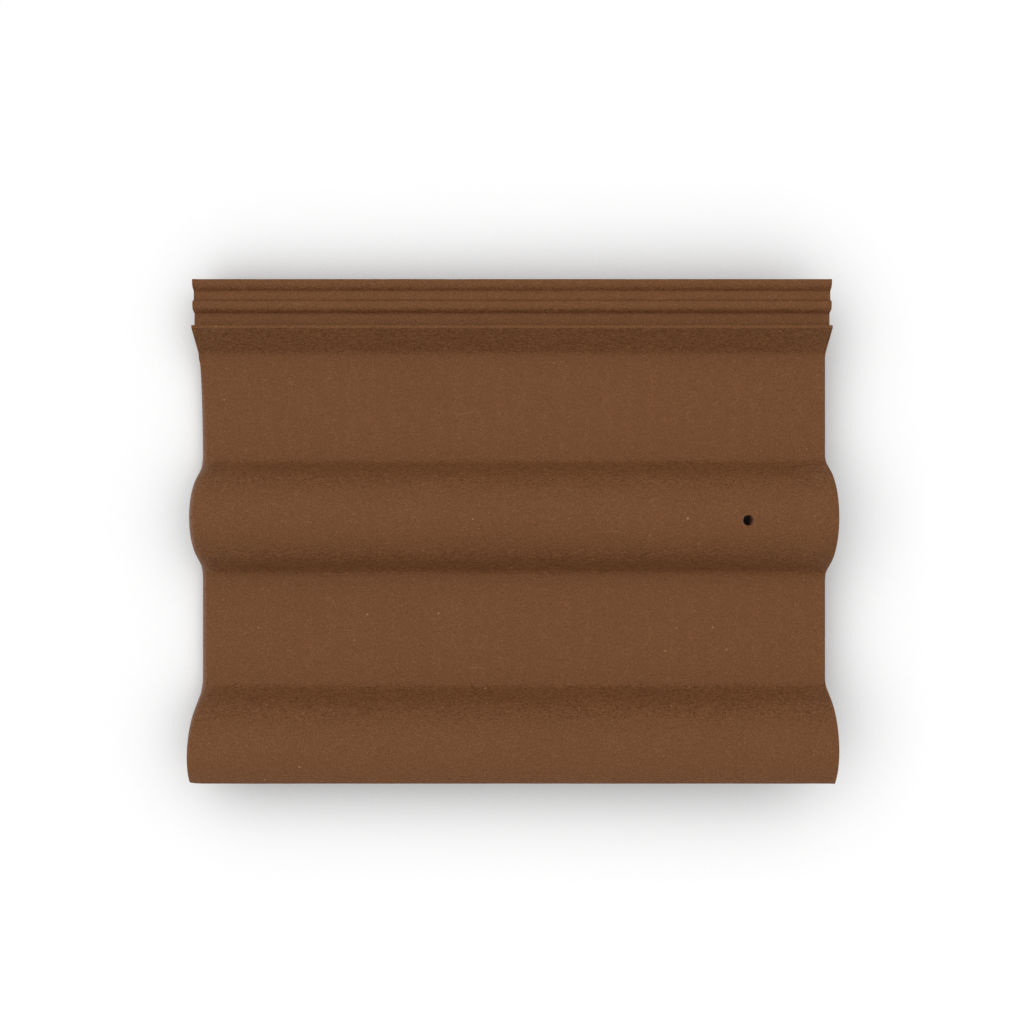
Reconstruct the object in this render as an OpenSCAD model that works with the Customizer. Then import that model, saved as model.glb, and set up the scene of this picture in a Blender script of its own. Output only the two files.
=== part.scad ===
// Double-roll interlocking roof tile, one fired piece.
// X runs from the tail (eaves end, rounded) to the head (ridge end, cut square).
// Y runs across the tile, from the cover lap to the underlock.
// The section is drawn in the tile's own plane: y = 0 on the middle roll's centre line, z = 0 on the pans' top.

/* [Tile] */
// Overall length
tile_l = 420; // [300:5:480]
// Width that one tile covers on the roof, which is twice the distance between its rolls
cover_w = 300; // [280:2:360]
// Wall thickness
wall_t = 12; // [9:0.5:15]

/* [Rolls and pans] */
// Height of a roll above the pans
roll_h = 29.2; // [24:0.1:36]
// Radius over a roll's crest
crest_r = 36; // [30:0.5:42]
// Slope of a roll's flanks, from level
flank_a = 58.5; // [50:0.5:65]
// Radius where a flank runs into a pan
root_r = 7.5; // [6:0.5:14]

/* [Underlock] */
// Slope of the ramp beside the last pan
ramp_a = 47; // [42:0.5:50]
// Radius where the pan runs into the ramp
ramp_r = 6.5; // [4:0.5:12]
// Height of the landing on top of the ramp
land_h = 16.1; // [13:0.1:19]
// Width of the landing
land_w = 2; // [1:0.1:4]
// Height of the inner groove's floor above the pans
inner_floor_h = 9.4; // [7:0.1:11]
// Width of the inner groove
inner_groove_w = 8.8; // [8:0.1:12]
// Height of the ridge between the grooves
inner_ridge_h = 14; // [12.5:0.1:15]
// Width of that ridge at its foot
inner_ridge_w = 9; // [8:0.1:11]
// Height of the outer groove's floor above the pans
outer_floor_h = 11; // [10:0.1:11.6]
// Width of the outer groove
outer_groove_w = 5.5; // [5:0.1:8]
// Height of the outer ridge, along its outer edge
outer_ridge_h = 14.6; // [14:0.1:16.2]
// Width of the outer ridge at its foot
outer_ridge_w = 7.3; // [7:0.1:10]
// Thickness under its outer groove, over the wall's
lock_extra = 1; // [0.5:0.1:3]
// Small round in its hollow corners
hollow_r = 0.8; // [0.4:0.1:1]
// Small round on its outer corners
edge_r = 0.5; // [0.2:0.1:0.6]

/* [Cover lap] */
// Reach of the cover edge past its roll's centre line
edge_reach = 23.4; // [21:0.1:26]
// Width of the hook along the cover edge
hook_w = 6.4; // [4.5:0.1:7]
// Width of the rib that hangs in the next tile's outer groove
rib_w = 3.6; // [2.8:0.1:4.2]
// Narrowing of hook and rib on each side, down to their feet
rib_draft = 0.6; // [0.2:0.1:0.9]
// Gap beside the cover edge, to the next tile's landing
side_gap = 0.9; // [0.5:0.1:2]
// Gap under hook and rib, to the next tile's groove floors
foot_gap = 1.2; // [0.5:0.1:2]
// Gap over the next tile's inner ridge
ridge_gap = 1.5; // [0.5:0.1:2.5]

/* [Tail] */
// Length over which the tail is rounded off
nose_run = 11; // [7:0.5:13]
// Depth of the rounding on the pans and the middle roll
nose_drop = 10.7; // [6:0.1:11]
// Depth of the rounding at the cover edge
edge_drop = 1.5; // [1:0.1:6]

/* [Nail hole] */
// Bore for the fixing nail
nail_d = 6.8; // [5:0.1:9]
// Distance of the bore from the head
nail_inset = 58.3; // [50:0.1:90]
// Distance of the bore from the middle roll's centre line
nail_offset = 2.1; // [0:0.1:4]

/* [Hanging nibs] */
// Width across the tile
nib_w = 50; // [30:1:52]
// Thickness along the tile, at the foot
nib_l = 14; // [10:0.5:20]
// Height below the pans' underside
nib_h = 15; // [10:0.5:22]
// Distance from the head to the face that bears on the batten
nib_inset = 22; // [20:0.5:40]
// Slope of a nib's free sides, from upright
nib_draft = 12; // [4:1:16]

/* [Weather bars] */
// Number of bars
bar_n = 2; // [1:1:3]
// Distance of the first bar's middle from the tail
bar_inset = 20; // [17:0.5:40]
// Distance between bars
bar_pitch = 24; // [14:1:30]
// Width of a bar
bar_w = 3.5; // [2.5:0.5:6]
// Height below the pans' underside
bar_h = 3; // [2:0.5:5]

/* [Hidden] */

clay = [0.45, 0.30, 0.20];

// Steps of the curves
arc_step = 4;
corner_step = 30;
nose_steps = 7;
fade_steps = 10;
// Depth to which nibs and bars run up into the wall
sunk = 2;
// Lean of the step that the next tile's cover edge stands against
step_draft = 0.3;
// How the rounding fades out across the last pan, towards the underlock
fade_power = 1.3;
// Slopes of the ridges' flanks at their feet: each one's flank towards the pans, and the inner ridge's other one
inner_ridge_a = 68;
outer_ridge_a = 60;
inner_ridge_back_a = 60;
// Rounds from the ridges' tops into the flanks towards the pans
inner_ridge_r = 3.8;
outer_ridge_r = 5.2;
// Round on the ridges' other sides
ridge_r = 2 * hollow_r;
// Where the tail's rounding starts to fade towards the cover edge, as a share of the crest's radius, and how
edge_fade = 0.8;
edge_fade_power = 1.2;
// Overrun of the bore past the crest
bore_over = 1;

roll_pitch = cover_w / 2;

// Roll: height of the crest's centre, and distance from the centre line to where the pan starts
crest_z = roll_h - crest_r;
flank_h = roll_h - (crest_r + root_r) * (1 - cos(flank_a));
foot_y = (crest_r + root_r) * sin(flank_a) + flank_h / tan(flank_a);

// Cover lap: its edge is set against the next tile
edge_y = -roll_pitch - edge_reach;
edge_a = asin(edge_reach / crest_r);
edge_fade_y = edge_fade * crest_r - roll_pitch;

// Underlock: everything in it is placed from the step that the next tile's cover edge stands against
step_y = edge_y + cover_w - side_gap;
land_y = step_y - land_w;
ramp_run = (land_h - ramp_r * (1 - cos(ramp_a))) / tan(ramp_a) + ramp_r * sin(ramp_a);
ramp_y = land_y - ramp_run;
ridge_y = step_y + inner_groove_w;
groove_y = ridge_y + inner_ridge_w;
bank_y = groove_y + outer_groove_w;
outer_y = bank_y + outer_ridge_w;
lock_z = outer_floor_h - wall_t - lock_extra;

// Hook and rib, in the next tile's grooves
hook_z = inner_floor_h + foot_gap;
rib_z = outer_floor_h + foot_gap;
roof_z = inner_ridge_h + ridge_gap;
hook_y = edge_y + hook_w;
rib_y = groove_y + outer_groove_w / 2 - cover_w;

// Places along the tile
tail_x = -tile_l / 2;
head_x = tile_l / 2;
nib_x = head_x - nib_inset;
bar_x = tail_x + bar_inset;

// At rest the tile lies on its nibs' feet and its first bar
nib_z = -wall_t - nib_h;
bar_z = -wall_t - bar_h;
rest_x = bar_x - bar_w / 2;
rest_a = atan((bar_z - nib_z) / (nib_x - rest_x));

// Surface points are [y, z, a], where a is the slope of the surface, as its normal's angle from upright.
// sink() moves one of them into the clay along that normal.
function sink(q, d) = [q.x - d * sin(q.z), q.y - d * cos(q.z)];

// Crest of the roll at y, between two slopes
function crest(y, from, to) =
    let (n = ceil(abs(to - from) / arc_step))
    [for (i = [0:n]) let (a = from + (to - from) * i / n)
        [y + crest_r * sin(a), crest_z + crest_r * cos(a), a]];

// Hollow round of radius r whose centre is over y, between two slopes
function hollow(y, r, from, to) =
    let (n = ceil(abs(to - from) / arc_step / 1.5))
    [for (i = [0:n]) let (a = from + (to - from) * i / n)
        [y - r * sin(a), r - r * cos(a), a]];

// Rounds the corner b of a path, which is [y, z, r]
function corner(a, b, c) =
    let (
        to_a = [a.x - b.x, a.y - b.y] / norm([a.x - b.x, a.y - b.y]),
        to_c = [c.x - b.x, c.y - b.y] / norm([c.x - b.x, c.y - b.y]),
        half = acos(to_a * to_c) / 2,
        middle = [b.x, b.y] + (to_a + to_c) / norm(to_a + to_c) * b.z / sin(half),
        out = [b.x, b.y] - middle,
        mid_a = atan2(out.y, out.x),
        turn = sign(to_c.x * to_a.y - to_c.y * to_a.x) * (90 - half),
        n = ceil(2 * abs(turn) / corner_step)
    )
    [for (i = [0:n]) let (a = mid_a + turn * (2 * i / n - 1)) middle + b.z * [cos(a), sin(a)]];

// A path of [y, z, r] with its corners rounded, without its two ends
function rounded(path) = [for (i = [1:len(path) - 2]) each corner(path[i - 1], path[i], path[i + 1])];

// The waves from the cover roll's crest to the foot of the ramp, which top and underside share
waves = concat(
    crest(-roll_pitch, 0, flank_a),
    hollow(foot_y - roll_pitch, root_r, flank_a, 0),
    hollow(-foot_y, root_r, 0, -flank_a),
    crest(0, -flank_a, flank_a),
    hollow(foot_y, root_r, flank_a, 0)
);
ramp_foot = hollow(ramp_y, ramp_r, 0, -ramp_a);

// Points across the last pan, closer together towards the ramp, where the tail's rounding fades out
last_pan = [for (i = [1:fade_steps - 1]) [foot_y + (ramp_y - foot_y) * sin(90 * i / fade_steps), 0, 0]];

// The top, as far as the ramp
cover_crest = crest(-roll_pitch, -edge_a, 0);
top = concat([for (i = [0:len(cover_crest) - 2]) cover_crest[i]], waves, last_pan, ramp_foot);

// Where the ramp's underside starts and ends
ramp_start = sink(ramp_foot[len(ramp_foot) - 1], wall_t);
ramp_end = ramp_start.x + (lock_z - ramp_start.y) / tan(ramp_a);

// The top of the underlock, from the ramp to its outer side
lock_top = rounded([
    top[len(top) - 1],
    [land_y, land_h, edge_r],
    [step_y, land_h, edge_r],
    [step_y + step_draft, inner_floor_h, hollow_r],
    [ridge_y, inner_floor_h, hollow_r],
    [ridge_y + (inner_ridge_h - inner_floor_h) / tan(inner_ridge_a), inner_ridge_h, inner_ridge_r],
    [groove_y - (inner_ridge_h - outer_floor_h) / tan(inner_ridge_back_a), inner_ridge_h, ridge_r],
    [groove_y, outer_floor_h, hollow_r],
    [bank_y, outer_floor_h, hollow_r],
    [bank_y + (outer_ridge_h - outer_floor_h) / tan(outer_ridge_a), outer_ridge_h, outer_ridge_r],
    [outer_y, outer_ridge_h, hollow_r],
    [outer_y, lock_z, 0]
]);

// The underside, from the hook's inner foot to the underlock's outer side
rib_in = rib_y + rib_w / 2;
rib_out = rib_y - rib_w / 2;
under = concat(
    [
        [hook_y - rib_draft, hook_z], [hook_y, roof_z],
        [rib_out, roof_z], [rib_out + rib_draft, rib_z],
        [rib_in - rib_draft, rib_z], [rib_in, crest_z + sqrt(pow(crest_r - wall_t, 2) - pow(rib_in + roll_pitch, 2))]
    ],
    [for (q = waves) sink(q, wall_t)],
    [for (q = ramp_foot) sink(q, wall_t)],
    [[ramp_end, lock_z], [ridge_y, lock_z], [groove_y, lock_z], [bank_y, lock_z]],
    corner([bank_y, lock_z], [outer_y, lock_z, ridge_r], [outer_y, outer_ridge_h])
);

// Depth of the tail's rounding: full up to the last pan, where it fades out, and less towards the cover edge
function drop(y) =
    y >= ramp_y ? 0
    : y > foot_y ? nose_drop * sqrt(1 - pow((y - foot_y) / (ramp_y - foot_y), fade_power))
    : y > edge_fade_y ? nose_drop
    : edge_drop + (nose_drop - edge_drop) * pow(max(0, (y - edge_y) / (edge_fade_y - edge_y)), edge_fade_power);

// The section's moving part, from the cover edge's foot over the waves to the ramp,
// where the tail's rounding has the given share of its depth
function skin(share) =
    let (line = [for (q = top) sink(q, share * drop(q.x))])
    concat([[line[0].x, hook_z]], line);

// Triangles between an upper and a lower line of points that both run towards +y, from their points i and j on.
// upper_n and lower_n are the numbers of their points.
function stitch(upper, lower, upper_n, lower_n, i = 0, j = 0, found = []) =
    let (up = i < len(upper) - 1, low = j < len(lower) - 1)
    !up && !low ? found
    : up && (!low || upper[i + 1].x <= lower[j + 1].x)
        ? stitch(upper, lower, upper_n, lower_n, i + 1, j,
            concat(found, [[upper_n[i + 1], upper_n[i], lower_n[j]]]))
        : stitch(upper, lower, upper_n, lower_n, i, j + 1,
            concat(found, [[lower_n[j + 1], upper_n[i], lower_n[j]]]));

function backwards(list) = [for (i = [len(list) - 1:-1:0]) list[i]];

// The clay's body. Its skin has a row of points at each station along the tile, and each end has
// one row more, round the underlock and back along the underside.
module body() {
    turns = concat([for (i = [0:nose_steps]) 90 * i / nose_steps], [90]);
    last = len(turns) - 1;
    x_at = [for (i = [0:last]) i < last ? tail_x + nose_run * (1 - cos(turns[i])) : head_x];
    skins = [for (a = turns) skin(1 - sin(a))];
    n = len(skins[0]);
    m = len(lock_top);
    rest = concat(lock_top, backwards(under));
    tail_row = n * (last + 1);
    head_row = tail_row + len(rest);
    // One end, where the skin's row starts at point a and the other row at point b
    function end_face(line, a, b) = stitch(
        concat([for (i = [1:n - 1]) line[i]], lock_top),
        concat([line[0]], under),
        concat([for (i = [1:n - 1]) a + i], [for (i = [0:m - 1]) b + i]),
        concat([a], [for (i = [len(rest) - 1:-1:m]) b + i])
    );
    polyhedron(
        points = concat(
            [for (i = [0:last]) for (p = skins[i]) [x_at[i], p.x, p.y]],
            [for (p = rest) [tail_x, p.x, p.y]],
            [for (p = rest) [head_x, p.x, p.y]]
        ),
        faces = concat(
            [for (k = [0:last - 1]) for (i = [0:n - 2]) [k * n + i + n, k * n + i, k * n + i + n + 1]],
            [for (k = [0:last - 1]) for (i = [0:n - 2]) [k * n + i + n + 1, k * n + i, k * n + i + 1]],
            [for (i = [0:len(rest) - 2]) [head_row + i, tail_row + i, tail_row + i + 1, head_row + i + 1]],
            [concat([tail_row, head_row], [for (k = [last:-1:0]) k * n + n - 1])],
            [concat([head_row - 1], [for (k = [0:last]) k * n], [head_row + len(rest) - 1])],
            end_face(skins[0], 0, tail_row),
            [for (f = end_face(skins[last], last * n, head_row)) backwards(f)]
        )
    );
}

// One hanging nib under the pan whose middle is at y
module nib(y) {
    spread = (nib_h + sunk) * tan(nib_draft);
    translate([nib_x, y, nib_z]) intersection() {
        rotate([90, 0, 0]) linear_extrude(2 * nib_w, center = true)
            polygon([[0, 0], [nib_l, 0], [nib_l + spread, nib_h + sunk], [0, nib_h + sunk]]);
        rotate([90, 0, 90]) translate([0, 0, -nib_l]) linear_extrude(4 * nib_l)
            polygon([
                [-nib_w / 2 + spread, 0], [nib_w / 2 - spread, 0],
                [nib_w / 2, nib_h + sunk], [-nib_w / 2, nib_h + sunk]
            ]);
    }
}

// One weather bar across the underside at x, from the crest of the cover roll to the foot of the ramp
module bar(x) {
    path = concat(waves, [ramp_foot[0]]);
    translate([x - bar_w / 2, 0, 0]) rotate([90, 0, 90]) linear_extrude(bar_w) polygon(concat(
        [for (q = path) sink(q, wall_t + bar_h)],
        [for (i = [len(path) - 1:-1:0]) sink(path[i], wall_t - sunk)]
    ));
}

module nail_hole() {
    translate([head_x - nail_inset, -nail_offset, 0]) cylinder(d = nail_d, h = roll_h + bore_over, $fn = 48);
}

// The tile in its own plane
module tile() {
    difference() {
        union() {
            body();
            nib((foot_y + ramp_y) / 2);
            nib(-roll_pitch / 2);
            for (i = [0:bar_n - 1]) bar(bar_x + i * bar_pitch);
        }
        nail_hole();
    }
}

// The tile as it lies on level ground, centred over the origin
module roof_tile() {
    low = -tail_x * cos(rest_a) + max([for (p = skin(1)) p.y]) * sin(rest_a);
    high = head_x * cos(rest_a) + wall_t * sin(rest_a);
    floor_z = nib_x * sin(rest_a) + nib_z * cos(rest_a);
    color(clay) translate([(low - high) / 2, -(edge_y + outer_y) / 2, -floor_z]) rotate([0, -rest_a, 0]) tile();
}

roof_tile();
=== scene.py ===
"""One clay roof tile with two rolls: its fired body, the finish of the clay, and a plain studio around it.

The tile is drawn in its own plane, in millimetres. X runs from the tail to the head, and Y across the tile,
from the cover lap to the underlock. y = 0 is the middle roll's centre line, and z = 0 the top of the pans.
The mesh is then scaled to metres and laid down on its nibs and first weather bar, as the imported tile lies.
"""

import logging
import math
from dataclasses import dataclass, field
from enum import Enum
from typing import Any

import bmesh
import bpy
from bpy.types import Material, Mesh, Node, NodeSocket, NodeTree, Object, World
from mathutils import Matrix, Vector


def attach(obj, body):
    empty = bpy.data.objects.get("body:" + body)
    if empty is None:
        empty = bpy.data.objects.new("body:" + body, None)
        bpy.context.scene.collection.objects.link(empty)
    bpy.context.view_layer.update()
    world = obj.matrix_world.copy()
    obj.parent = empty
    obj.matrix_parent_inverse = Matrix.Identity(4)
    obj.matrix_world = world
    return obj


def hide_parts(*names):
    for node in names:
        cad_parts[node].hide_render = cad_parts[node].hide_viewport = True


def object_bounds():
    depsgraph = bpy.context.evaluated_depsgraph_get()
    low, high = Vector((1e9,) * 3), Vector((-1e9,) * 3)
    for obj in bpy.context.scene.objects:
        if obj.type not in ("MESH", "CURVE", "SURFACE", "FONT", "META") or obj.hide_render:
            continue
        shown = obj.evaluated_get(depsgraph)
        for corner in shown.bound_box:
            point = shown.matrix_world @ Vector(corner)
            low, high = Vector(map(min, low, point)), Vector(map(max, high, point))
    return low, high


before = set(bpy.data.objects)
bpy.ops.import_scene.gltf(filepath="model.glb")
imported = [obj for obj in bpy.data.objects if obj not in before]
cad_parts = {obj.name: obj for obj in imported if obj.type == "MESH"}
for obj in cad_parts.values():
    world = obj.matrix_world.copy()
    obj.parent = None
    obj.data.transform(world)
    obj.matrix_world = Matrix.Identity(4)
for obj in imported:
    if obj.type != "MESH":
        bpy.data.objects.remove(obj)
CAD_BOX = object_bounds()

LOG = logging.getLogger("roof_tile")
MM = 0.001


class Zone(Enum):
    """Stretch of the tile's section, which says how the tail's rounding and the bars move its points."""

    TOP = "top"
    COVER_EDGE = "cover edge"
    UNDERLOCK = "underlock"
    UNDERSIDE = "underside"


class Move(Enum):
    """A way in which the section changes along the tile: a vector at each point, a share at each station."""

    NOSE = "nose"
    TAIL_EDGE = "tail_edge"
    HEAD_EDGE = "head_edge"
    BAR = "bar"


class Cut(Enum):
    """What is done with another closed mesh."""

    JOIN = "UNION"
    REMOVE = "DIFFERENCE"


def quarter(steps: int) -> list[float]:
    """Angles from zero to a quarter turn.

    Args:
        steps: How many equal parts it has.

    Returns:
        The angles, one more than the parts.
    """
    return [math.pi / 2 * i / steps for i in range(steps + 1)]


@dataclass(frozen=True)
class Corner:
    """A corner of the section's outline, with its radius and the zone of the points that lead to it."""

    y: float
    z: float
    radius: float
    zone: Zone

    @property
    def place(self) -> Vector:
        """The corner as a plane vector."""
        return Vector((self.y, self.z))


@dataclass
class SectionPoint:
    """A point on the section's outline, with its outward normal and its moves."""

    place: Vector
    zone: Zone
    normal: Vector = field(default_factory=lambda: Vector((0.0, 0.0)))
    moves: dict[Move, Vector] = field(default_factory=dict)


@dataclass(frozen=True)
class Outline:
    """Turns rounded corners into a closed line of points."""

    spacing: dict[Zone, float]
    turn_step: float = math.radians(18)

    def arc(self, before: Corner, at: Corner, after: Corner) -> list[Vector]:
        """Points on the round of one corner.

        Args:
            before: The corner before it.
            at: The corner that is rounded.
            after: The corner after it.

        Returns:
            The points from one end of the round to the other.
        """
        to_before = (before.place - at.place).normalized()
        to_after = (after.place - at.place).normalized()
        half = to_before.angle(to_after) / 2
        turn = math.pi - 2 * half
        middle = at.place + (to_before + to_after).normalized() * at.radius / math.sin(half)
        spoke = at.place + to_before * at.radius / math.tan(half) - middle
        steps = math.ceil(max(turn / self.turn_step, turn * at.radius / self.spacing[at.zone]))
        side = math.copysign(1.0, to_after.cross(to_before))
        return [middle + Matrix.Rotation(side * turn * i / steps, 2) @ spoke for i in range(steps + 1)]

    def closed(self, corners: list[Corner]) -> list[SectionPoint]:
        """The whole outline, with the straight stretches divided and a normal at each point.

        Args:
            corners: The corners in order, so that the clay is on the right of the way round.

        Returns:
            The points of the closed line, without a double at its end.
        """
        points: list[SectionPoint] = []
        arcs = [self.arc(corners[i - 1], c, corners[(i + 1) % len(corners)]) for i, c in enumerate(corners)]
        for i, corner in enumerate(corners):
            start, end = arcs[i - 1][-1], arcs[i][0]
            parts = max(1, math.ceil((end - start).length / self.spacing[corner.zone]))
            points += [SectionPoint(start.lerp(end, k / parts), corner.zone) for k in range(1, parts)]
            points += [SectionPoint(p, corner.zone) for p in arcs[i]]
        for i, point in enumerate(points):
            way = points[(i + 1) % len(points)].place - points[i - 1].place
            point.normal = Vector((-way.y, way.x)).normalized()
        return points


@dataclass
class RollsAndPans:
    """The waves of top and underside: rolls with round crests and straight flanks, and flat pans between."""

    pitch: float = 150.0
    height: float = 29.2
    crest_radius: float = 36.0
    flank: float = math.radians(58.5)
    root_radius: float = 7.5
    wall: float = 12.0

    @property
    def crest_z(self) -> float:
        """Height of the crests' common centre."""
        return self.height - self.crest_radius

    def flank_reach(self, depth: float) -> float:
        """Distance from a roll's centre line to where flank and pan would meet, at a depth below the top."""
        apex = self.crest_z + (self.crest_radius - depth) / math.cos(self.flank)
        return (apex + depth) / math.tan(self.flank)

    @property
    def foot(self) -> float:
        """Distance from a roll's centre line to where the flat pan starts."""
        return self.flank_reach(0) + self.root_radius * math.tan(self.flank / 2)

    def root(self, y: float, depth: float, zone: Zone) -> Corner:
        """The hollow corner between a flank and a pan, at a depth below the top surface."""
        return Corner(y, -depth, self.root_radius + depth, zone)

    def crest(self, y: float, depth: float, zone: Zone, left: float, right: float) -> Corner:
        """The round crest of a roll between two slopes.

        Args:
            y: The roll's centre line.
            depth: How far below the top surface the line is.
            zone: The zone of its points.
            left: Slope on the side of the cover edge, as the normal's angle from upright.
            right: Slope on the side of the underlock.

        Returns:
            The corner where the two tangents meet, with the crest's radius.
        """
        radius = self.crest_radius - depth
        reach = radius / math.cos((right - left) / 2)
        middle = (left + right) / 2
        return Corner(y + reach * math.sin(middle), self.crest_z + reach * math.cos(middle), radius, zone)

    def crest_at(self, offset: float, depth: float) -> tuple[float, float]:
        """Height and slope of a crest at an offset from its centre line and a depth below the top."""
        radius = self.crest_radius - depth
        return self.crest_z + math.sqrt(radius**2 - offset**2), math.asin(offset / radius)


@dataclass
class CoverLap:
    """The edge that laps over the next tile: a hook along its edge and a rib inside it."""

    edge_reach: float = 23.4
    hook_width: float = 6.4
    rib_width: float = 3.6
    draft: float = 0.6
    side_gap: float = 0.9
    foot_gap: float = 1.2
    ridge_gap: float = 1.5
    edge_radius: float = 0.8
    foot_radius: float = 0.7
    hollow_radius: float = 0.8
    edge_lead: float = 1.0
    corner_round: float = 2.4


@dataclass
class Underlock:
    """The ramp, landing, two grooves and two ridges on which the next tile's cover lap lies."""

    ramp: float = math.radians(47)
    ramp_radius: float = 6.5
    landing_height: float = 16.1
    landing_width: float = 2.0
    step_draft: float = 0.3
    inner_floor: float = 9.4
    inner_groove: float = 8.8
    inner_ridge: float = 14.0
    inner_ridge_width: float = 9.0
    inner_slope: float = math.radians(68)
    inner_round: float = 3.8
    back_slope: float = math.radians(60)
    outer_floor: float = 11.0
    outer_groove: float = 5.5
    outer_ridge: float = 14.6
    outer_ridge_width: float = 7.3
    outer_slope: float = math.radians(60)
    outer_round: float = 5.2
    extra: float = 1.0
    edge_radius: float = 0.6
    hollow_radius: float = 0.8
    ridge_radius: float = 1.6


@dataclass
class Tail:
    """The rounded nose at the eaves end, which fades out across the last pan."""

    run: float = 11.0
    drop: float = 10.7
    edge_drop: float = 1.5
    edge_from: float = 0.8
    edge_fade: float = 1.2
    fade: float = 1.3
    rows: int = 14

    def share(self, along: float) -> float:
        """Share of the full drop at a distance from the tail, on a quarter of an ellipse."""
        part = min(max(along / self.run, 0.0), 1.0)
        return 1 - math.sqrt(part * (2 - part))


@dataclass
class WeatherBars:
    """Low bars across the underside near the tail, which keep driven rain out of the lap."""

    count: int = 2
    inset: float = 20.0
    pitch: float = 24.0
    width: float = 3.5
    height: float = 3.0
    squareness: float = 3.6
    end_taper: float = 5.0
    rows: int = 12

    def middles(self, tail_x: float) -> list[float]:
        """Where the bars' middles are along the tile."""
        return [tail_x + self.inset + i * self.pitch for i in range(self.count)]

    def share(self, offset: float) -> float:
        """Share of the full height beside a bar's middle, with rounded shoulders."""
        part = min(abs(offset) / (self.width / 2), 1.0)
        return (1 - part**self.squareness) ** (1 / self.squareness)


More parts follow.
